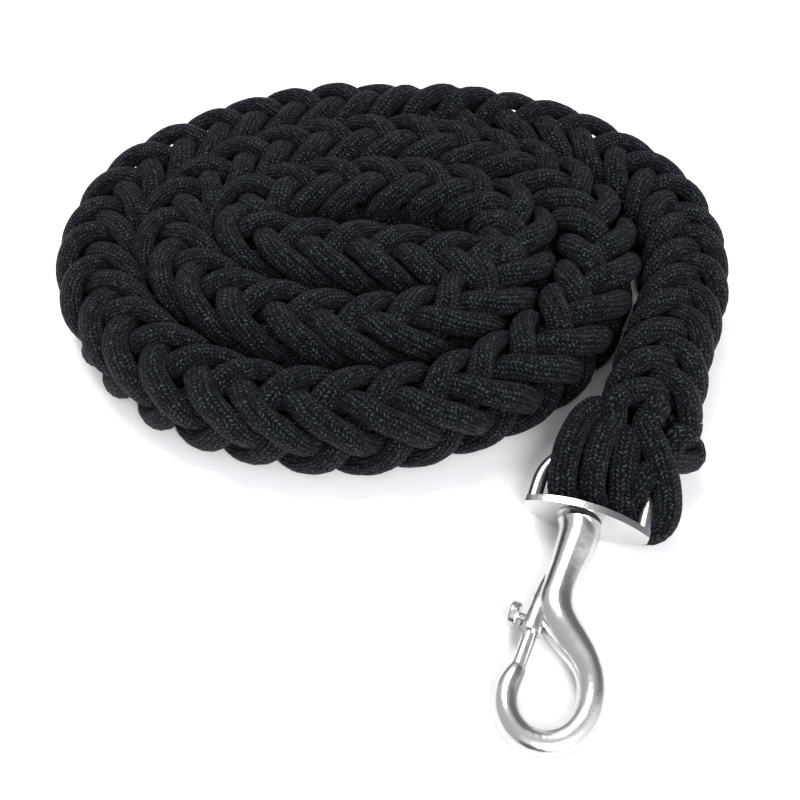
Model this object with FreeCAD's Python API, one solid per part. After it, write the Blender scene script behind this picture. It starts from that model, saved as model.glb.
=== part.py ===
"""Lead rope: a thick braided rope lying in a loose flat coil, with a swivelling bolt snap.

Millimetres, +Z up. The origin is on the ground, under the middle of the whole part. The snap lies
towards -Y with its hook flat on the ground, and the coil lies towards +Y and -X.
"""
import FreeCAD, Part
import math
import os

V = FreeCAD.Vector
UP = V(0, 0, 1)

# Rope
ROPE = 28.5                         # side of the braided rope's rounded-square section
CORD = 8.0                          # one cord of the braid, relaxed
LOOP_CORD = 0.81 * CORD             # the same cord, pulled flat round the eye

# Where the snap lies: the middle of the eye plate's inner face
SNAP_AT = V(90.73, -63.93, 9.35)
SNAP_TILT = 4.2                     # degrees, the hook's end lower than the eye

# The coil's place and turn, and the extreme points of its turns in its own axes: right, back, left,
# front, right and so on, from the outside inwards. A quarter ellipse joins each to the next.
COIL_CENTRE = V(2.65, 37.04, 0)
COIL_TURN = 15.5
COIL_EXTREMES = [
    (111, 2), (-4, 88), (-118, 0), (-20, -88.5),
    (78.5, 0), (-9, 61), (-90, 3), (-10, -51.5),
    (47, 0), (-2, 30.5),
]
POINTS_PER_QUARTER = 6
# The last stretch, from the coil's innermost turn round a hairpin to the free end, in the coil's axes
INNER_ROUTE = [
    (-20, 30), (-38, 28.5), (-53, 24.5), (-63.5, 15), (-63, 3),
    (-53, -5.5), (-40, -9), (-25, -10.5), (-7, -12.5), (15, -16),
    (36, -20),
]

# Route of the stretch from the cord loops to the coil, at the height of the rope's middle
LEAD_ROUTE = [
    (106.5, -27.0), (108.0, -15.0), (109.2, 0.0), (111.5, 16.5),
    (113.6, 33.5), (113.36, 53.2), (109.08, 68.63),
]

# Eye, in its own axes: the origin of the snap's axes, turned so that y is the swivel axis
EYE_TURN = -4.5                     # degrees about z, from the snap's own axes
EYE_BAR = 4.9                       # thickness of the eye's bar
EYE_X = 2.2                         # the eye's middle, a little to the stem's right
EYE_ARC_Y = 6.5                     # centre of the eye's round end
EYE_ARC_R = 17.7
PLATE_HALF_WIDTH = 20.0
PLATE_HALF_HEIGHT = 8.8
PLATE_TIP_HEIGHT = 2.4
PLATE_TOP = -0.6
PLATE_THICK = 2.4
DOME_DEPTH = 4.0                    # the plate's dome, round the stem
DOME_R = 26.0

# Swivel stem
STEM_R = 3.0
RUNNING_GAP = 0.05
FACE_GAP = 0.3
OVERRUN = 1.0                       # how far a cutting shape runs past the face it cuts
STEM_HEAD_R = 5.0
STEM_HEAD_THICK = 2.4
STEM_HEAD_ROUND = 1.1
STEM_ROOT = 8.0                     # how far the stem reaches down into the hook
HEAD_GROOVE = (2.4, 1.3)            # width and depth of the groove between the peened head's two lugs

# Hook: middle line (x, y) and bar radius, in the snap's own axes, from the swivel down the spine and
# round to the nose
HOOK_LINE = [
    (0.1, -4.3, 6.8), (0.4, -11.5, 6.3), (-1.1, -20.0, 5.5), (-2.4, -28.0, 5.5), (-1.1, -36.5, 6.0),
    (4.6, -43.2, 5.6), (9.8, -49.5, 4.6), (12.0, -57.0, 4.2), (10.9, -64.8, 4.0), (6.2, -71.2, 3.95),
    (-1.1, -73.6, 3.9), (-7.8, -71.0, 3.9), (-11.3, -64.8, 3.8), (-11.0, -58.6, 3.5), (-9.7, -54.4, 2.6),
]

# Barrel and plunger, along their own axis from the nose towards the eye
BOLT_FOOT = V(-9.7, -54.1, 0)
BOLT_LEAN = 8.1                     # degrees between the bolt's axis and the swivel axis
BOLT_R = 2.2
BARREL_R = 3.4
BARREL_END_R = 2.9
BARREL_START = 11.0                 # distance from the bolt's foot to the barrel's mouth
BORE_END = 25.0
BARREL_END = 26.0
TAPER_END = 32.0                    # where the barrel's end has run out into the neck
TAPER_END_R = 1.8
COLLAR_R = 3.75
COLLAR_LENGTH = 1.5
BOLT_LENGTH = 16.4
BOLT_TRAVEL = 6.5
KNOB_AT = 14.2                      # the knob's distance from the bolt's foot
KNOB_STEM_R = 1.5
KNOB_HEAD_R = 4.2
KNOB_HEAD_THICK = 3.2
KNOB_ROUND = 1.0
KNOB_REACH = 8.0                    # from the bolt's axis to the knob's outer face
SLOT_CLEAR = 0.3
SLOT_DEPTH = 12.0                   # more than the barrel's wall, so that the slot is open outside

# Spring
SPRING_R = 1.6
SPRING_WIRE_R = 0.2
SPRING_TURNS = 4
SPRING_END_GAP = 0.1

# Cord loops round the eye: angle of the loop round the eye's arc, from +y towards +x, how far its legs
# go straight out from the bar, and how far from the rope's middle they enter it
LOOPS = [(-32.0, 7.0, -11.6), (5.0, 6.0, -4.0), (41.0, 7.0, 2.2)]
SIDE_LOOP_Y = 6.2                   # the fourth loop, round the eye's right arm
SIDE_LOOP_REACH = 9.5
SIDE_LOOP_RISE = 9.0                # its legs turn towards the rope in two steps this far apart
SIDE_LOOP_SWAY = 0.5
SIDE_LOOP_ENTRY = 9.5
LOOP_OFFSET = EYE_BAR / 2 + LOOP_CORD / 2 + FACE_GAP
LEG_INTO_ROPE = 1.5
ARC_SHARE = 0.45                    # how much of the shorter run a corner's arc takes up


def save(node, shape):
    """Write one node's solid, and print its size."""
    box = shape.optimalBoundingBox()
    print(f"{node}: valid {shape.isValid()}, solids {len(shape.Solids)}, volume {shape.Volume:.0f}, "
          f"x {box.XMin:.1f}..{box.XMax:.1f}, y {box.YMin:.1f}..{box.YMax:.1f}, "
          f"z {box.ZMin:.1f}..{box.ZMax:.1f}")
    shape.exportStep(f"parts/{node}.step")
    return shape


def snap_place():
    """The snap's own axes in the part's frame."""
    return FreeCAD.Placement(SNAP_AT, FreeCAD.Rotation(V(1, 0, 0), SNAP_TILT))


def eye_turn():
    """From the eye's own axes to the snap's."""
    return FreeCAD.Placement(V(0, 0, 0), FreeCAD.Rotation(UP, EYE_TURN))


def moved(shape, place):
    """A copy of a shape, moved from its own axes to where it lies."""
    copy = shape.copy()
    copy.Placement = place.multiply(copy.Placement)
    return copy


def rod(start, direction, length, radius):
    return Part.makeCylinder(radius, length, start, direction)


# ---- Route of a cord's tube: straight runs joined by tangent arcs ----

def run_and_arc_wire(points):
    """Runs between the points, with the largest tangent arc at each corner that its runs leave room for."""
    edges = []
    radii = []
    last = points[0]
    for before, corner, after in zip(points, points[1:], points[2:]):
        inward = (corner - before).normalize()
        outward = (after - corner).normalize()
        half_turn = inward.getAngle(outward) / 2
        cut = ARC_SHARE * min((corner - before).Length, (after - corner).Length)
        radius = cut / math.tan(half_turn)
        start = corner - inward * cut
        end = corner + outward * cut
        to_middle = (outward - inward).normalize()
        centre = corner + to_middle * (radius / math.cos(half_turn))
        middle = centre - to_middle * radius
        edges.append(Part.LineSegment(last, start).toShape())
        edges.append(Part.Arc(start, middle, end).toShape())
        radii.append(radius)
        last = end
    edges.append(Part.LineSegment(last, points[-1]).toShape())
    return Part.Wire(edges), radii


def tube(wire, direction, radius):
    """A round tube along a wire whose first point heads along direction."""
    section = Part.Wire([Part.Circle(wire.Vertexes[0].Point, direction, radius).toShape()])
    return Part.Solid(wire.makePipeShell([section], True, False))


def make_rope_lead():
    points = [V(x, y, ROPE / 2) for x, y in LEAD_ROUTE]
    wire, radii = run_and_arc_wire(points)
    solid = tube(wire, points[1] - points[0], ROPE / 2)
    expected = math.pi * (ROPE / 2) ** 2 * wire.Length
    print("lead radii", [round(r) for r in radii], f"length {wire.Length:.1f}",
          f"volume over section x length {solid.Volume / expected:.4f}")
    return solid


# ---- Coil ----

def quarter(start, end, from_side, steps):
    """Points of the quarter ellipse from one extreme to the next, without the last one."""
    (x0, y0), (x1, y1) = start, end
    points = []
    for i in range(steps):
        angle = math.pi / 2 * i / steps
        if from_side:
            points.append(V(x1 + (x0 - x1) * math.cos(angle), y0 + (y1 - y0) * math.sin(angle), 0))
        else:
            points.append(V(x0 + (x1 - x0) * math.sin(angle), y1 + (y0 - y1) * math.cos(angle), 0))
    return points


def coil_points():
    """The rope's middle line through all the coil's turns, in the coil's own axes."""
    points = []
    for i, (start, end) in enumerate(zip(COIL_EXTREMES, COIL_EXTREMES[1:])):
        points += quarter(start, end, i % 2 == 0, POINTS_PER_QUARTER)
    points += [V(x, y, 0) for x, y in [COIL_EXTREMES[-1], *INNER_ROUTE]]
    return points


def outward_offset(points, distance):
    """Each point moved off the line, to the right of its way."""
    moved = []
    for before, point, after in zip(points, points[1:], points[2:]):
        along = (after - before).normalize()
        moved.append(point + V(along.y, -along.x, 0) * distance)
    return moved


def make_rope_coil():
    """One flat block of the outer shape of all the turns, with a flat step where the lead meets it."""
    line = coil_points()
    lengths = [(b - a).Length for a, b in zip(line, line[1:])]
    print(f"coil middle line {sum(lengths):.0f} mm")
    step_y = COIL_EXTREMES[0][1]
    start = V(COIL_EXTREMES[0][0] + ROPE / 2, step_y, 0)
    first_turn = line[:5 * POINTS_PER_QUARTER]
    outside = outward_offset(first_turn, ROPE / 2)[:4 * POINTS_PER_QUARTER - 2]
    inner_end = V(COIL_EXTREMES[4][0] + ROPE / 2, step_y, 0)
    curve = Part.BSplineCurve()
    curve.interpolate([start] + outside + [inner_end])
    edge = Part.LineSegment(inner_end, start).toShape()
    face = Part.Face(Part.Wire([curve.toShape(), edge]))
    solid = face.extrude(UP * ROPE)
    solid.Placement = FreeCAD.Placement(COIL_CENTRE, FreeCAD.Rotation(UP, COIL_TURN))
    return solid


# ---- Cord loops round the eye ----

def make_loop(bar_point, corners, entry_x):
    """A cord over the eye's bar: two legs, one above the other, and half a turn round the bar.

    The bar's point and the leg's corners are in the eye's own axes, and entry_x is where the legs enter
    the rope, from its middle.
    """
    place = snap_place().multiply(eye_turn())
    middle = place.multVec(bar_point)
    rise = UP * LOOP_OFFSET
    leg = [middle]
    for corner in corners:
        flat = place.multVec(corner)
        leg.append(V(flat.x, flat.y, middle.z))
    start_x, start_y = LEAD_ROUTE[0]
    leg.append(V(start_x + entry_x, start_y + LEG_INTO_ROPE, middle.z))
    away = (leg[1] - middle).normalize()
    upper, radii = run_and_arc_wire([point + rise for point in reversed(leg)])
    lower, _ = run_and_arc_wire([point - rise for point in leg])
    bend = Part.Arc(middle + rise, middle - away * LOOP_OFFSET, middle - rise).toShape()
    wire = Part.Wire(upper.Edges + [bend] + lower.Edges)
    print("loop radii", [round(r, 1) for r in radii], f"length {wire.Length:.1f}")
    return tube(wire, leg[-2] - leg[-1], LOOP_CORD / 2)


def make_arc_loop(angle, reach, entry_x):
    """A cord loop over the round end of the eye."""
    turn = math.radians(angle)
    away = V(math.sin(turn), math.cos(turn), 0)
    bar_point = V(EYE_X, EYE_ARC_Y, 0) + away * EYE_ARC_R
    return make_loop(bar_point, [bar_point + away * reach], entry_x)


def make_side_loop():
    """The cord loop round the eye's right arm, which bulges out beside the eye."""
    bar_point = V(EYE_X + EYE_ARC_R, SIDE_LOOP_Y, 0)
    out = bar_point + V(SIDE_LOOP_REACH, 0, 0)
    return make_loop(bar_point, [out, out + V(SIDE_LOOP_SWAY, SIDE_LOOP_RISE, 0)], SIDE_LOOP_ENTRY)


# ---- Swivel eye ----

def lens_wire(y):
    """The plate's outline, a lens with blunt tips, at one height along the swivel axis."""
    left, right = EYE_X - PLATE_HALF_WIDTH, EYE_X + PLATE_HALF_WIDTH
    tall, tip = PLATE_HALF_HEIGHT, PLATE_TIP_HEIGHT
    top = Part.Arc(V(left, y, tip), V(EYE_X, y, tall), V(right, y, tip)).toShape()
    right_tip = Part.LineSegment(V(right, y, tip), V(right, y, -tip)).toShape()
    bottom = Part.Arc(V(right, y, -tip), V(EYE_X, y, -tall), V(left, y, -tip)).toShape()
    left_tip = Part.LineSegment(V(left, y, -tip), V(left, y, tip)).toShape()
    return Part.Wire([top, right_tip, bottom, left_tip])


def make_plate():
    """The eye's base: a thin lens with a shallow dome round the stem, on the hook's side."""
    lens = Part.Face(lens_wire(PLATE_TOP))
    thin = lens.extrude(V(0, -PLATE_THICK, 0))
    deep = lens.extrude(V(0, -DOME_DEPTH, 0))
    dome = Part.makeSphere(DOME_R, V(0, DOME_R - DOME_DEPTH, 0))
    return thin.fuse(deep.common(dome))


def make_eye():
    foot = PLATE_TOP - PLATE_THICK / 2
    left, right = V(EYE_X - EYE_ARC_R, EYE_ARC_Y, 0), V(EYE_X + EYE_ARC_R, EYE_ARC_Y, 0)
    arm_1 = Part.LineSegment(V(left.x, foot, 0), left).toShape()
    arc = Part.Arc(left, V(EYE_X, EYE_ARC_Y + EYE_ARC_R, 0), right).toShape()
    arm_2 = Part.LineSegment(right, V(right.x, foot, 0)).toShape()
    bar = tube(Part.Wire([arm_1, arc, arm_2]), V(0, 1, 0), EYE_BAR / 2)
    bore = rod(V(0, -2 * DOME_DEPTH, 0), V(0, 1, 0), 3 * DOME_DEPTH, STEM_R + RUNNING_GAP)
    return make_plate().fuse(bar).cut(bore).removeSplitter()


# ---- Hook ----

def hook_section(before, here, after):
    """The hook bar's round section at one point of its middle line."""
    x, y, radius = here
    along = V(after[0] - before[0], after[1] - before[1], 0).normalize()
    turn = FreeCAD.Rotation(UP, along.cross(UP), along, "ZXY")
    ring = Part.Wire([Part.Circle(V(0, 0, 0), UP, radius).toShape()])
    ring.Placement = FreeCAD.Placement(V(x, y, 0), turn)
    return ring


def hook_bar():
    rings = []
    for i, here in enumerate(HOOK_LINE):
        before = HOOK_LINE[max(i - 1, 0)]
        after = HOOK_LINE[min(i + 1, len(HOOK_LINE) - 1)]
        rings.append(hook_section(before, here, after))
    return Part.makeLoft(rings, True, False)


def bolt_axis():
    lean = math.radians(BOLT_LEAN)
    return V(math.sin(lean), math.cos(lean), 0)


def bolt_point(distance):
    return BOLT_FOOT + bolt_axis() * distance


def make_stem():
    """The swivel stem with its peened head inside the eye: two lugs with a groove between them."""
    head_y = PLATE_TOP + FACE_GAP
    shank = rod(V(0, -STEM_ROOT, 0), V(0, 1, 0), STEM_ROOT + head_y + STEM_HEAD_THICK / 2, STEM_R)
    head = rod(V(0, head_y, 0), V(0, 1, 0), STEM_HEAD_THICK, STEM_HEAD_R)
    middle_y = head_y + STEM_HEAD_THICK / 2
    rim = [e for e in head.Edges if e.BoundBox.YMin > middle_y and len(e.Vertexes) == 1]
    width, depth = HEAD_GROOVE
    groove = Part.makeBox(width, depth, 2 * STEM_HEAD_R)
    groove.translate(V(-width / 2, head_y + STEM_HEAD_THICK - depth, -STEM_HEAD_R))
    return shank.fuse(head.makeFillet(STEM_HEAD_ROUND, rim)).cut(groove)


def make_hook():
    axis = bolt_axis()
    barrel = Part.makeCone(BARREL_R, BARREL_END_R, BARREL_END - BARREL_START,
                           bolt_point(BARREL_START), axis)
    taper = Part.makeCone(BARREL_END_R, TAPER_END_R, TAPER_END - BARREL_END,
                          bolt_point(BARREL_END), axis)
    collar = rod(bolt_point(BARREL_START), axis, COLLAR_LENGTH, COLLAR_R)
    bore = rod(bolt_point(BARREL_START - OVERRUN), axis, BORE_END - BARREL_START + OVERRUN,
               BOLT_R + RUNNING_GAP)
    slot_half = KNOB_STEM_R + SLOT_CLEAR
    slot = Part.makeBox(SLOT_DEPTH, BOLT_TRAVEL + 2 * slot_half, 2 * slot_half)
    slot.translate(V(-SLOT_DEPTH, -slot_half, -slot_half))
    slot.Placement = FreeCAD.Placement(bolt_point(KNOB_AT), FreeCAD.Rotation(UP, -BOLT_LEAN)).multiply(
        slot.Placement)
    nose_cut = rod(bolt_point(-FACE_GAP / 2), axis, BARREL_START - OVERRUN, BARREL_R + OVERRUN)
    stem = moved(make_stem(), eye_turn())
    body = hook_bar().cut(nose_cut).fuse(barrel).fuse(taper).fuse(collar).fuse(stem)
    return body.cut(bore).cut(slot).removeSplitter()


def make_plunger():
    pin = rod(bolt_point(FACE_GAP), bolt_axis(), BOLT_LENGTH - FACE_GAP, BOLT_R)
    hole = rod(bolt_point(KNOB_AT), knob_way(), 2 * BOLT_R, KNOB_STEM_R)
    return pin.cut(hole)


def knob_way():
    """Out of the barrel's side, square to the bolt's axis."""
    axis = bolt_axis()
    return V(-axis.y, axis.x, 0)


def make_knob():
    """The knob's stem stands in the plunger's side hole, with its round head outside the barrel."""
    stem = rod(bolt_point(KNOB_AT), knob_way(), KNOB_REACH - KNOB_ROUND, KNOB_STEM_R)
    head_at = bolt_point(KNOB_AT) + knob_way() * (KNOB_REACH - KNOB_HEAD_THICK)
    head = rod(head_at, knob_way(), KNOB_HEAD_THICK, KNOB_HEAD_R)
    rims = [e for e in head.Edges if len(e.Vertexes) == 1]
    return stem.fuse(head.makeFillet(KNOB_ROUND, rims))


def make_spring():
    """A compression spring between the plunger's end and the bore's end."""
    length = BORE_END - BOLT_LENGTH - 2 * SPRING_WIRE_R - 2 * SPRING_END_GAP
    helix = Part.makeHelix(length / SPRING_TURNS, length, SPRING_R)
    section = Part.Wire([Part.Circle(V(SPRING_R, 0, 0), V(0, 1, 0), SPRING_WIRE_R).toShape()])
    spring = Part.Solid(Part.Wire(helix.Edges).makePipeShell([section], True, True))
    start = bolt_point(BOLT_LENGTH + SPRING_WIRE_R + SPRING_END_GAP)
    spring.Placement = FreeCAD.Placement(start, FreeCAD.Rotation(UP, bolt_axis()))
    return spring


def main():
    os.makedirs("parts", exist_ok=True)
    shapes = [save("rope_coil", make_rope_coil()), save("rope_lead", make_rope_lead())]
    for number, loop in enumerate(LOOPS, 1):
        shapes.append(save(f"cord_bight_{number}", make_arc_loop(*loop)))
    shapes.append(save("cord_bight_4", make_side_loop()))
    for node, shape in (
        ("swivel_eye", moved(make_eye(), eye_turn())),
        ("hook_body", make_hook()),
        ("plunger", make_plunger()),
        ("thumb_knob", make_knob()),
        ("plunger_spring", make_spring()),
    ):
        shapes.append(save(node, moved(shape, snap_place())))
    box = Part.makeCompound(shapes).optimalBoundingBox()
    print(f"whole: x {box.XMin:.2f}..{box.XMax:.2f}, y {box.YMin:.2f}..{box.YMax:.2f}, "
          f"z {box.ZMin:.2f}..{box.ZMax:.2f}")


main()
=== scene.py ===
"""Lead rope with a swivelling bolt snap: the visible model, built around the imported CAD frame.

Metres, in the CAD frame: +Z up, the origin on the ground under the middle of the part.
"""
import math

import bpy
import numpy as np
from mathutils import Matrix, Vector


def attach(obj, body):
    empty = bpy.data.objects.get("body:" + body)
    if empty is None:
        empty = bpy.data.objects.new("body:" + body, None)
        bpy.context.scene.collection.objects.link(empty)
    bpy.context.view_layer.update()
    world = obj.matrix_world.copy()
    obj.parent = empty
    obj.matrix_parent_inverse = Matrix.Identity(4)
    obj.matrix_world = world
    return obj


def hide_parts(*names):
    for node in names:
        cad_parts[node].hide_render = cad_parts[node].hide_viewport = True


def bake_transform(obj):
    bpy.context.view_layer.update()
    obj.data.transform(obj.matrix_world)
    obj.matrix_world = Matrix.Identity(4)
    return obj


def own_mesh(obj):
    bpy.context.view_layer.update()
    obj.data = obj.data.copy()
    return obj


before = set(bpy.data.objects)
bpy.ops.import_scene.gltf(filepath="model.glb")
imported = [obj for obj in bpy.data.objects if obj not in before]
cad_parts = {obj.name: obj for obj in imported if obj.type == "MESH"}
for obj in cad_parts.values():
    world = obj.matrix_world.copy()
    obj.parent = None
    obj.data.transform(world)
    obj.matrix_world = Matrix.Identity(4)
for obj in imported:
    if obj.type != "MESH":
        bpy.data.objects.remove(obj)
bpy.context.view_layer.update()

# ---------------------------------------------------------------- sizes

ROPE = 0.0285                       # side of the braided rope's section
CORD_HALF_WIDTH = 0.0049            # a cord is pressed a little flat
CORD_HALF_THICK = 0.0038
UNEVEN, UNEVEN_WAVE = 0.06, 0.05    # how much a cord's width varies along it, and over what length
LOOP_HALF_WIDTH = 0.0048            # the same cord in the loops, where it is nearly round
LOOP_HALF_THICK = 0.0041
MID_RADIUS = 0.0101                 # cord's distance from the rope's middle, on a face of the section
CORNER_RADIUS = 0.0046              # how much further out a cord lies at its own corners
CORNER_SLOW = 0.27                  # how much a cord lingers at its own corners
SAMPLE = 0.0018                     # step along the cords
SIDES = 12                          # corners of a cord's section in the mesh
LOWEST = 0.0002                     # no cord reaches lower than this, so none lies in the floor
END_REACH = 0.005                   # how far a joining line keeps the direction of the cord it joins
CROWN_REACH = 0.009                 # how far the turned-back cords reach past the rope's free end

# Route, as in the CAD model: the stretch from the snap, then the coil's turns
LEAD_ROUTE = [
    (0.1065, -0.0270), (0.1080, -0.0150), (0.1092, 0.0000), (0.1115, 0.0165),
    (0.1136, 0.0335), (0.11336, 0.0532), (0.10908, 0.06863),
]
COIL_CENTRE = Vector((0.00265, 0.03704, 0.0))
COIL_TURN = math.radians(15.5)
# Where the coil's turns reach furthest to each side, from the outside in, in the coil's own axes
COIL_EXTREMES = [
    (0.111, 0.002), (-0.004, 0.088), (-0.118, 0.0), (-0.020, -0.0885),
    (0.0785, 0.0), (-0.009, 0.061), (-0.090, 0.003), (-0.010, -0.0515),
    (0.047, 0.0), (-0.002, 0.0305),
]
POINTS_PER_QUARTER = 6
# The last stretch, from the coil's innermost turn round a hairpin to the free end, in the coil's axes
INNER_ROUTE = [
    (-0.020, 0.0300), (-0.038, 0.0285), (-0.053, 0.0245), (-0.0635, 0.0150), (-0.0630, 0.0030),
    (-0.0530, -0.0055), (-0.0400, -0.0090), (-0.0250, -0.0105), (-0.0070, -0.0125), (0.0150, -0.0160),
    (0.0360, -0.0200),
]

OPEN_START, OPEN_LENGTH = 0.08, 0.045      # the braid widens where its cords open into the loops
TURN_WANDER, TURN_WAVE = 0.0014, 0.11      # how far a cord's crossings wander along the rope
RADIUS_WANDER, RADIUS_WAVE = 0.0005, 0.07  # how far a cord wanders in and out
RADIUS_SEED, WIDTH_SEED = 3, 5             # steps that keep one cord's wanderings from matching
CHEVRON = 0.0182                    # one chevron of the braid, along the rope
TIGHT_CHEVRON = 0.0152              # the same where the rope is pulled tight next to the snap
TIGHT_LENGTH = 0.125                # how far from the rope's start it is tight
CHEVRON_PHASE = -0.31               # where the first cord's turn stands at the rope's start, in chevrons
ROLL_START, ROLL_END = 0.19, 0.28   # the braid rolls a quarter turn over this stretch of its length

SNAP_AT = np.array([0.09073, -0.06393, 0.0])
BOLT_WAY = np.array([0.1409, 0.98736, 0.07251])  # the way that the plunger slides back

# Loops of cord round the snap's eye: points from the ground under the middle of the eye's plate.
# Each joins the cord whose number and way round the rope are given first to the one given last.
LOOPS = {
    "left_loop": ((3, False), [
        (-0.0005, 0.0365, 0.0205), (-0.0048, 0.031, 0.0198), (-0.0068, 0.025, 0.0184),
        (-0.0084, 0.0175, 0.0168), (-0.0076, 0.0045, 0.0105), (-0.0030, 0.0065, 0.0043),
        (-0.0030, 0.017, 0.0042), (0.001, 0.028, 0.006),
    ], (2, True)),
    "middle_loop": ((0, False), [
        (0.0055, 0.032, 0.0205), (0.0027, 0.026, 0.0202), (0.0012, 0.0165, 0.018), (0.0018, 0.006, 0.0115),
        (0.0065, 0.0075, 0.0046), (0.0065, 0.018, 0.006), (0.008, 0.0285, 0.009),
    ], (2, False)),
    "corner_loop": ((1, True), [
        (0.0135, 0.031, 0.022), (0.0175, 0.025, 0.022), (0.0214, 0.0185, 0.0195), (0.0248, 0.0125, 0.0160),
        (0.027, 0.006, 0.0088), (0.024, 0.0018, 0.0043), (0.017, 0.0026, 0.004), (0.0128, 0.0055, 0.0075),
        (0.0108, 0.013, 0.0155), (0.0100, 0.0225, 0.020), (0.0115, 0.030, 0.0175),
    ], (3, True)),
    "side_loop": ((0, True), [
        (0.0258, 0.031, 0.0215), (0.0245, 0.028, 0.0145), (0.0195, 0.0195, 0.0065), (0.0155, 0.013, 0.0055),
        (0.015, 0.0095, 0.0105), (0.017, 0.0135, 0.0165), (0.0225, 0.022, 0.0165), (0.0285, 0.026, 0.0125),
        (0.033, 0.0295, 0.010), (0.032, 0.0355, 0.0105),
    ], (1, False)),
}

# ---------------------------------------------------------------- lines

def sample_nurbs(points, steps=12):
    """Points along a smooth line that has these control points."""
    curve = bpy.data.curves.new("route", "CURVE")
    curve.dimensions = "3D"
    spline = curve.splines.new("NURBS")
    spline.points.add(len(points) - 1)
    for target, point in zip(spline.points, points):
        target.co = (point[0], point[1], point[2], 1.0)
    spline.order_u = 3
    spline.use_endpoint_u = True
    spline.resolution_u = steps
    holder = bpy.data.objects.new("route", curve)
    mesh = bpy.data.meshes.new_from_object(holder)
    line = np.array([tuple(v.co) for v in mesh.vertices])
    bpy.data.objects.remove(holder)
    bpy.data.curves.remove(curve)
    bpy.data.meshes.remove(mesh)
    return line


def even_steps(line, step):
    """The same line in equal steps, with its length."""
    lengths = np.concatenate([[0.0], np.cumsum(np.linalg.norm(np.diff(line, axis=0), axis=1))])
    count = max(int(round(lengths[-1] / step)), 2)
    at = np.linspace(0.0, lengths[-1], count + 1)
    even = np.stack([np.interp(at, lengths, line[:, i]) for i in range(3)], axis=1)
    return even, lengths[-1]


def unit(vectors):
    """The same directions, with length 1."""
    return vectors / np.linalg.norm(vectors, axis=-1, keepdims=True)


def quarter(start, end, from_side):
    """Points of the quarter ellipse from one extreme of a turn to the next, without the last one."""
    (x0, y0), (x1, y1) = start, end
    points = []
    for i in range(POINTS_PER_QUARTER):
        angle = math.pi / 2 * i / POINTS_PER_QUARTER
        if from_side:
            points.append((x1 + (x0 - x1) * math.cos(angle), y0 + (y1 - y0) * math.sin(angle)))
        else:
            points.append((x0 + (x1 - x0) * math.sin(angle), y1 + (y0 - y1) * math.cos(angle)))
    return points


def coil_points():
    """Control points of the coil's turns and the free end, in the CAD frame."""
    flat = []
    for i, (start, end) in enumerate(zip(COIL_EXTREMES, COIL_EXTREMES[1:])):
        flat += quarter(start, end, i % 2 == 0)
    flat += [COIL_EXTREMES[-1], *INNER_ROUTE]
    cos, sin = math.cos(COIL_TURN), math.sin(COIL_TURN)
    return [(COIL_CENTRE.x + x * cos - y * sin, COIL_CENTRE.y + x * sin + y * cos) for x, y in flat]


def rope_line():
    """The rope's middle line in equal steps, from the snap to the free end, with its length."""
    flat = LEAD_ROUTE[:-1] + coil_points()
    return even_steps(sample_nurbs([(x, y, ROPE / 2) for x, y in flat]), SAMPLE)


# ---------------------------------------------------------------- cords as tubes

class Tubes:
    """Collects round or flattened tubes into one mesh, with the length along each cord in its UVs."""

    def __init__(self):
        self.vertices = []
        self.faces = []
        self.uvs = []
        self.count = 0

    def add(self, line, normals, half_width, half_thick, shift=0.0):
        """A tube along line; normals point out of its flat side. The halves are numbers or one per point."""
        along = unit(np.gradient(line, axis=0))
        out = unit(normals - along * np.sum(normals * along, axis=1, keepdims=True))
        side = np.cross(along, out)
        steps = np.linalg.norm(np.diff(line, axis=0), axis=1)
        length = np.concatenate([[0.0], np.cumsum(steps)]) + shift
        wide = np.broadcast_to(half_width, len(line))[:, None]
        thick = np.broadcast_to(half_thick, len(line))[:, None]
        rings = []
        for k in range(SIDES):
            angle = 2 * math.pi * k / SIDES
            rings.append(line + side * wide * math.cos(angle) + out * thick * math.sin(angle))
        ring_points = np.stack(rings, axis=1)
        self.vertices.append(ring_points.reshape(-1, 3))
        base = self.count
        for i in range(len(line) - 1):
            for k in range(SIDES):
                after = (k + 1) % SIDES
                a, b = base + i * SIDES + k, base + i * SIDES + after
                self.faces.append((a, b, b + SIDES, a + SIDES))
                u0, u1 = k / SIDES, (k + 1) / SIDES
                self.uvs += [(u0, length[i]), (u1, length[i]), (u1, length[i + 1]), (u0, length[i + 1])]
        first = [base + k for k in range(SIDES)]
        last = [base + (len(line) - 1) * SIDES + k for k in range(SIDES)]
        for ring, at in ((first[::-1], length[0]), (last, length[-1])):
            self.faces.append(tuple(ring))
            self.uvs += [(k / SIDES, at) for k in range(SIDES)]
        self.count += len(line) * SIDES

    def piece(self, name, material):
        """An object made of all the tubes so far."""
        mesh = bpy.data.meshes.new(name)
        points = np.concatenate(self.vertices)
        points[:, 2] = np.maximum(points[:, 2], LOWEST)
        mesh.from_pydata(points.tolist(), [], self.faces)
        layer = mesh.uv_layers.new(name="cord")
        layer.data.foreach_set("uv", np.array(self.uvs, dtype=np.float32).ravel())
        mesh.polygons.foreach_set("use_smooth", [True] * len(mesh.polygons))
        mesh.materials.append(material)
        piece = bpy.data.objects.new(name, mesh)
        bpy.context.scene.collection.objects.link(piece)
        return piece


# ---------------------------------------------------------------- braid

def wobble(at, seed, wave):
    """A smooth uneven value, -1 to 1, along a length: two sines that drift in and out of step."""
    return (0.6 * np.sin(at / wave * 2 * math.pi + seed * 1.7)
            + 0.4 * np.sin(at / wave * 5.1 + seed * 4.3))


def chevrons_before(at):
    """How many chevrons of the braid lie before a place along the rope."""
    tight = np.minimum(at, TIGHT_LENGTH) / TIGHT_CHEVRON
    return tight + np.maximum(at - TIGHT_LENGTH, 0.0) / CHEVRON


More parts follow.
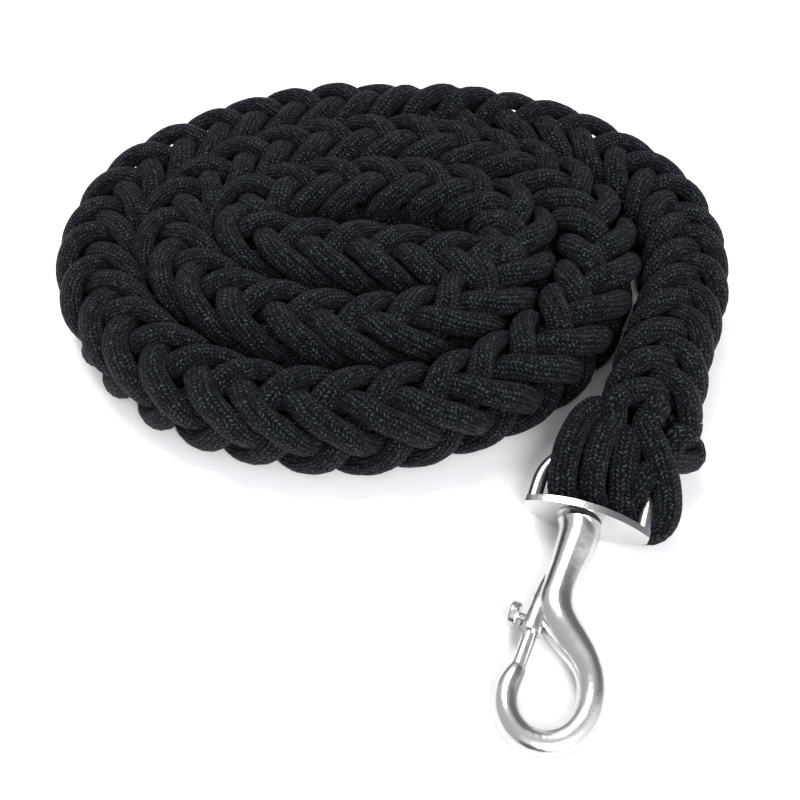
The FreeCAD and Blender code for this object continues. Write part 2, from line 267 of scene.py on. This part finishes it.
def roll_at(at):
    """How far the whole braid has rolled, at a place along the rope."""
    share = np.clip((at - ROLL_START) / (ROLL_END - ROLL_START), 0.0, 1.0)
    return math.pi / 2 * share


def strand(line, number, leftward):
    """One cord's middle line, and the direction out of the rope, along the whole rope.

    A cord lies outside at two opposite corners of the square section and dives under at the other two.
    The cords that turn the other way round the rope do the reverse.
    """
    step = np.linalg.norm(line[1] - line[0])
    at = np.arange(len(line)) * step
    seed = number * 2 + leftward
    uneven = at + TURN_WANDER * wobble(at, seed, TURN_WAVE)
    turn = math.pi / 2 * (chevrons_before(uneven) + CHEVRON_PHASE + number)
    turn = turn + (math.pi / 4 if leftward else math.pi / 2)
    corner = math.pi / 4
    angle = turn - CORNER_SLOW * np.sin(2 * (turn - corner))
    radius = MID_RADIUS + CORNER_RADIUS * np.cos(2 * (angle - corner))
    radius = radius + RADIUS_WANDER * wobble(at, seed + RADIUS_SEED, RADIUS_WAVE)
    radius = radius * (1 + OPEN_START * np.clip(1 - at / OPEN_LENGTH, 0.0, 1.0) ** 2)
    if not leftward:
        angle = math.pi - angle
    angle = angle + roll_at(at)
    along = unit(np.gradient(line, axis=0))
    up = np.array([0.0, 0.0, 1.0])
    right = np.cross(along, up)
    out = right * np.cos(angle)[:, None] + up * np.sin(angle)[:, None]
    return line + out * radius[:, None], out


def make_strands(line):
    """All eight cords of the braid, by number and way round the rope."""
    return {(number, leftward): strand(line, number, leftward)
            for number in range(4) for leftward in (True, False)}


def carried_normals(line, first):
    """Normals along a line that turn no more than they must, starting from one direction."""
    along = unit(np.gradient(line, axis=0))
    normals = []
    normal = np.array(first, dtype=float)
    for way in along:
        normal = normal - way * np.dot(normal, way)
        normal = normal / np.linalg.norm(normal)
        normals.append(normal)
    return np.array(normals)


def joining_line(start, start_way, points, end, end_way):
    """A smooth line that leaves start and reaches end along their own directions."""
    controls = [start, start + start_way * END_REACH, *points, end + end_way * END_REACH, end]
    return even_steps(sample_nurbs(controls), SAMPLE)[0]


def make_loop(name, strands, material):
    """One cord's bend round the eye, between its two strands of the braid."""
    first, points, last = LOOPS[name]
    (line_a, out_a), (line_b, _) = strands[first], strands[last]
    way_a = unit(line_a[0] - line_a[1])
    way_b = unit(line_b[0] - line_b[1])
    inner = [SNAP_AT + np.array(point) for point in points]
    line = joining_line(line_a[0], way_a, inner, line_b[0], way_b)
    tubes = Tubes()
    tubes.add(line, carried_normals(line, out_a[0]), LOOP_HALF_WIDTH, LOOP_HALF_THICK)
    return tubes.piece(name, material)


def add_crown(tubes, strands, end_way):
    """The rope's free end: each cord turns back into the next, so that none ends cut off."""
    for number in range(4):
        line_a, out_a = strands[(number, True)]
        line_b, _ = min((strands[(n, False)] for n in range(4)),
                        key=lambda cord: np.linalg.norm(cord[0][-1] - line_a[-1]))
        middle = (line_a[-1] + line_b[-1]) / 2 + end_way * CROWN_REACH
        way_a = unit(line_a[-1] - line_a[-2])
        way_b = unit(line_b[-1] - line_b[-2])
        line = joining_line(line_a[-1], way_a, [middle], line_b[-1], way_b)
        tubes.add(line, carried_normals(line, out_a[-1]), LOOP_HALF_WIDTH, LOOP_HALF_THICK)


def make_spring(material):
    """The plunger's spring: the CAD spring's shape in spring wire, carried with the hook."""
    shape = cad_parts["plunger_spring"]
    spring = bpy.data.objects.new("spring", shape.data.copy())
    spring.matrix_world = shape.matrix_world
    spring.data.materials.clear()
    spring.data.materials.append(material)
    bpy.context.scene.collection.objects.link(spring)
    points = np.array([tuple(shape.matrix_world @ v.co) for v in shape.data.vertices])
    along = points @ BOLT_WAY
    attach(spring, "hook")
    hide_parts("plunger_spring")
    tuple(points[along.argmax()])
    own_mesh(spring)


def make_rope(line, strands, material):
    """The eight braided cords and the free end, as one piece."""
    tubes = Tubes()
    for (number, leftward), (cord_line, out) in strands.items():
        at = np.arange(len(cord_line)) * SAMPLE
        seed = number + WIDTH_SEED * leftward
        half_width = CORD_HALF_WIDTH * (1 + UNEVEN * wobble(at, seed, UNEVEN_WAVE))
        tubes.add(cord_line, out, half_width, CORD_HALF_THICK, shift=STITCH_SHIFT * number)
    add_crown(tubes, strands, unit(line[-1] - line[-2]))
    return tubes.piece("braided_rope", material)


# ---------------------------------------------------------------- materials

class Nodes:
    """Short names for building a node material."""

    def __init__(self, name):
        self.material = bpy.data.materials.new(name)
        self.material.use_nodes = True
        self.tree = self.material.node_tree
        self.shader = self.tree.nodes["Principled BSDF"]

    def new(self, kind, **values):
        node = self.tree.nodes.new(kind)
        for key, value in values.items():
            setattr(node, key, value)
        return node

    def link(self, source, target):
        self.tree.links.new(source, target)

    def math(self, operation, a, b=None):
        node = self.new("ShaderNodeMath", operation=operation)
        for socket, value in zip(node.inputs, (a, b)):
            if value is None:
                continue
            if isinstance(value, (int, float)):
                socket.default_value = value
            else:
                self.link(value, socket)
        return node.outputs[0]

    def mix(self, factor, low, high):
        node = self.new("ShaderNodeMix", data_type="RGBA")
        self.link(factor, node.inputs["Factor"])
        node.inputs["A"].default_value = (*low, 1.0)
        node.inputs["B"].default_value = (*high, 1.0)
        return node.outputs["Result"]


STITCH_ROWS = 16                    # rows of stitches round a cord
STITCH_LENGTH = 0.0013
STITCH_SHIFT = 0.37                 # how far one cord's stitches are shifted from the next one's
STITCH_LEAN = 0.85                  # how far a stitch slants over its row's width, in stitches
STITCH_SWAY, SWAY_SCALE = 1.4, 500.0  # how far a row wanders, in rows, and how finely
RIDGE_POWER, STITCH_POWER = 0.7, 0.8  # below 1, so that the stitches are broad and the gaps narrow
FUZZ_SCALE, FUZZ_HEIGHT = 1100.0, 0.5  # fineness and height of the fibres on the stitches
GLINT_PATCH_SCALE = 420.0                  # fineness of the patches that the painted highlights gather in
FUZZ_GAIN, GLINT_PATCH_GAIN = 1.75, 1.9    # how much of the crowns the fibres and the patches light up with painted highlight
GLINT_POWER = 3.0                    # how sharply the painted highlight sets off from the dark
CORD_BUMP = 0.0007                  # height of a stitch's bump
# Painted highlight: the stitch crowns are coloured a pale blue-grey in glinting flecks, over the near-black
# gaps.
GAP_COLOUR = (0.0004, 0.0004, 0.0006)
CROWN_HIGHLIGHT_COLOUR = (0.040, 0.045, 0.062)


def stitch_height(m):
    """Rows of slanting stitches along a cord, each row leaning against the next."""
    uv = m.new("ShaderNodeUVMap", uv_map="cord")
    split = m.new("ShaderNodeSeparateXYZ")
    m.link(uv.outputs["UV"], split.inputs[0])
    sway = m.math("MULTIPLY", noise(m, SWAY_SCALE, 2.0), STITCH_SWAY)
    across = m.math("ADD", m.math("MULTIPLY", split.outputs["X"], STITCH_ROWS), sway)
    row = m.math("FLOOR", across)
    inside = m.math("FRACT", across)
    odd = m.math("MODULO", row, 2.0)
    lean = m.math("SUBTRACT", m.math("MULTIPLY", odd, 2.0), 1.0)
    along = m.math("DIVIDE", split.outputs["Y"], STITCH_LENGTH)
    slanted = m.math("ADD", along, m.math("MULTIPLY", m.math("MULTIPLY", inside, lean), STITCH_LEAN))
    stitch = m.math("ABSOLUTE", m.math("SINE", m.math("MULTIPLY", slanted, math.pi)))
    ridge = m.math("SINE", m.math("MULTIPLY", inside, math.pi))
    return m.math("MULTIPLY", m.math("POWER", ridge, RIDGE_POWER), m.math("POWER", stitch, STITCH_POWER))


def noise(m, scale, detail):
    """A patchy value, 0 to 1, in the piece's own coordinates."""
    place = m.new("ShaderNodeTexCoord")
    node = m.new("ShaderNodeTexNoise")
    node.inputs["Scale"].default_value = scale
    node.inputs["Detail"].default_value = detail
    m.link(place.outputs["Object"], node.inputs["Vector"])
    return node.outputs["Fac"]


def cord_material():
    """A black braided sleeve with painted highlights: pale glints coloured onto the stitch crowns over black
    gaps, a little fuzzy.
    """
    m = Nodes("black_cord")
    height = stitch_height(m)
    fuzz = noise(m, FUZZ_SCALE, 3.0)
    rough = m.math("ADD", height, m.math("MULTIPLY", fuzz, FUZZ_HEIGHT))
    bump = m.new("ShaderNodeBump")
    bump.inputs["Strength"].default_value = 1.0
    bump.inputs["Distance"].default_value = CORD_BUMP
    m.link(rough, bump.inputs["Height"])
    m.link(bump.outputs["Normal"], m.shader.inputs["Normal"])
    # Painted highlight: where the stitch crowns, the fibres and the patches meet, the colour turns from
    # black to pale glints.
    spark = m.math("POWER", m.math("MULTIPLY", height, m.math("MULTIPLY", fuzz, FUZZ_GAIN)), GLINT_POWER)
    glint_patches = m.math("POWER", m.math("MULTIPLY", noise(m, GLINT_PATCH_SCALE, 2.0), GLINT_PATCH_GAIN), GLINT_POWER)
    glint_mask = m.math("MULTIPLY", glint_patches, spark)
    m.link(m.mix(glint_mask, GAP_COLOUR, CROWN_HIGHLIGHT_COLOUR), m.shader.inputs["Base Color"])
    m.shader.inputs["Roughness"].default_value = 0.6
    m.shader.inputs["Specular IOR Level"].default_value = 0.11
    m.shader.inputs["Specular Tint"].default_value = (0.72, 0.86, 1.0, 1.0)
    m.shader.inputs["Sheen Weight"].default_value = 0.02
    m.shader.inputs["Sheen Roughness"].default_value = 0.4
    return m.material


def metal(name, dark, light, wave_scale, roughness, bump_depth):
    """Bright metal that isn't quite even."""
    m = Nodes(name)
    wave = noise(m, wave_scale, 4.0)
    bump = m.new("ShaderNodeBump")
    bump.inputs["Strength"].default_value = 0.3
    bump.inputs["Distance"].default_value = bump_depth
    m.link(wave, bump.inputs["Height"])
    m.link(bump.outputs["Normal"], m.shader.inputs["Normal"])
    m.link(m.mix(wave, dark, light), m.shader.inputs["Base Color"])
    m.shader.inputs["Metallic"].default_value = 1.0
    m.shader.inputs["Roughness"].default_value = roughness
    return m.material


def nickel_material():
    """Nickel plate over a casting."""
    return metal("nickel_plate", dark=(0.56, 0.555, 0.55), light=(0.70, 0.695, 0.69),
                 wave_scale=130.0, roughness=0.24, bump_depth=0.0010)


def steel_material():
    """Drawn spring wire."""
    return metal("spring_wire", dark=(0.30, 0.30, 0.32), light=(0.46, 0.46, 0.48),
                 wave_scale=700.0, roughness=0.3, bump_depth=0.0001)


def floor_material():
    m = Nodes("pale_floor")
    m.shader.inputs["Base Color"].default_value = (0.86, 0.86, 0.87, 1.0)
    m.shader.inputs["Roughness"].default_value = 0.6
    return m.material


# ---------------------------------------------------------------- studio

FLOOR_HALF = 3.0                    # half of the staged floor's side


def add_floor():
    mesh = bpy.data.meshes.new("floor")
    half = FLOOR_HALF
    corners = [(-half, -half, 0), (half, -half, 0), (half, half, 0), (-half, half, 0)]
    mesh.from_pydata(corners, [], [(0, 1, 2, 3)])
    mesh.materials.append(floor_material())
    floor = bpy.data.objects.new("floor", mesh)
    bpy.context.scene.collection.objects.link(floor)


def add_light(name, place, aim, size, power):
    data = bpy.data.lights.new(name, "AREA")
    data.shape = "DISK"
    data.size = size
    data.energy = power
    light = bpy.data.objects.new(name, data)
    light.location = place
    light.rotation_euler = (Vector(aim) - Vector(place)).to_track_quat("-Z", "Y").to_euler()
    bpy.context.scene.collection.objects.link(light)


# Studio round the object, for bright metal to mirror: the way to each card's middle, the cosines of
# the angles from it at which the card begins and is whole, and its colour
STUDIO_GREY = (0.60, 0.61, 0.62)
CARDS = (
    ((0.62, -0.58, 0.53), 0.50, 0.85, (1.25, 1.27, 1.31)),
    ((0.52, 0.67, 0.53), 0.72, 0.95, (0.17, 0.18, 0.20)),
    ((0.0, -1.0, 0.28), 0.88, 0.96, (0.03, 0.03, 0.06)),
)


def add_world():
    """Pale grey all round, with a wide white card at the front right, a dark one at the back right
    and a darker one low in front.
    """
    world = bpy.data.worlds.new("studio")
    world.use_nodes = True
    tree = world.node_tree
    place = tree.nodes.new("ShaderNodeTexCoord")
    colour = None
    for way, begins, whole, card_colour in CARDS:
        facing = tree.nodes.new("ShaderNodeVectorMath")
        facing.operation = "DOT_PRODUCT"
        facing.inputs[1].default_value = Vector(way).normalized()
        tree.links.new(place.outputs["Generated"], facing.inputs[0])
        share = tree.nodes.new("ShaderNodeMapRange")
        share.interpolation_type = "SMOOTHSTEP"
        share.inputs["From Min"].default_value = begins
        share.inputs["From Max"].default_value = whole
        tree.links.new(facing.outputs["Value"], share.inputs["Value"])
        mix = tree.nodes.new("ShaderNodeMix")
        mix.data_type = "RGBA"
        mix.inputs["A"].default_value = (*STUDIO_GREY, 1.0)
        mix.inputs["B"].default_value = (*card_colour, 1.0)
        tree.links.new(share.outputs["Result"], mix.inputs["Factor"])
        if colour is not None:
            tree.links.new(colour, mix.inputs["A"])
        colour = mix.outputs["Result"]
    tree.links.new(colour, tree.nodes["Background"].inputs["Color"])
    bpy.context.scene.world = world


CAMERA_AT = Vector((0.07547, -0.22555, 0.25387))
CAMERA_WAY = Vector((-0.16818, 0.60643, -0.77715))
SENSOR_WIDTH = 36.0                 # millimetres, as Blender counts it
LENS_PER_WIDTH = 1.1138             # focal length over the picture's width


def add_camera():
    data = bpy.data.cameras.new("camera")
    data.sensor_width = SENSOR_WIDTH
    data.lens = SENSOR_WIDTH * LENS_PER_WIDTH
    data.clip_start = 0.01
    camera = bpy.data.objects.new("camera", data)
    camera.location = CAMERA_AT
    camera.rotation_euler = CAMERA_WAY.to_track_quat("-Z", "Y").to_euler()
    bpy.context.scene.collection.objects.link(camera)
    bpy.context.scene.camera = camera


# ---------------------------------------------------------------- making it

def main():
    bpy.context.scene.view_settings.view_transform = "Standard"
    add_camera()
    add_world()
    add_floor()
    add_light("key", place=(-0.35, 0.45, 1.0), aim=(0, 0.03, 0), size=0.7, power=10.5)
    add_light("front", place=(0.5, -0.75, 0.75), aim=(0, 0, 0), size=0.7, power=11.5)
    cord = cord_material()
    nickel = nickel_material()
    steel = steel_material()
    line, length = rope_line()
    strands = make_strands(line)
    rope = make_rope(line, strands, cord)
    loops = [make_loop(name, strands, cord) for name in LOOPS]
    for loop, node in zip(loops, ("cord_bight_1", "cord_bight_2", "cord_bight_4", "cord_bight_3")):
        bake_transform(loop)
        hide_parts(node)
    make_spring(steel)
    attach(rope, "root")
    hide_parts("rope_coil", "rope_lead")
    for node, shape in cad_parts.items():
        if node.startswith(("cord", "rope", "plunger_spring")):
            continue
        shape.data.materials.clear()
        shape.data.materials.append(nickel)


main()
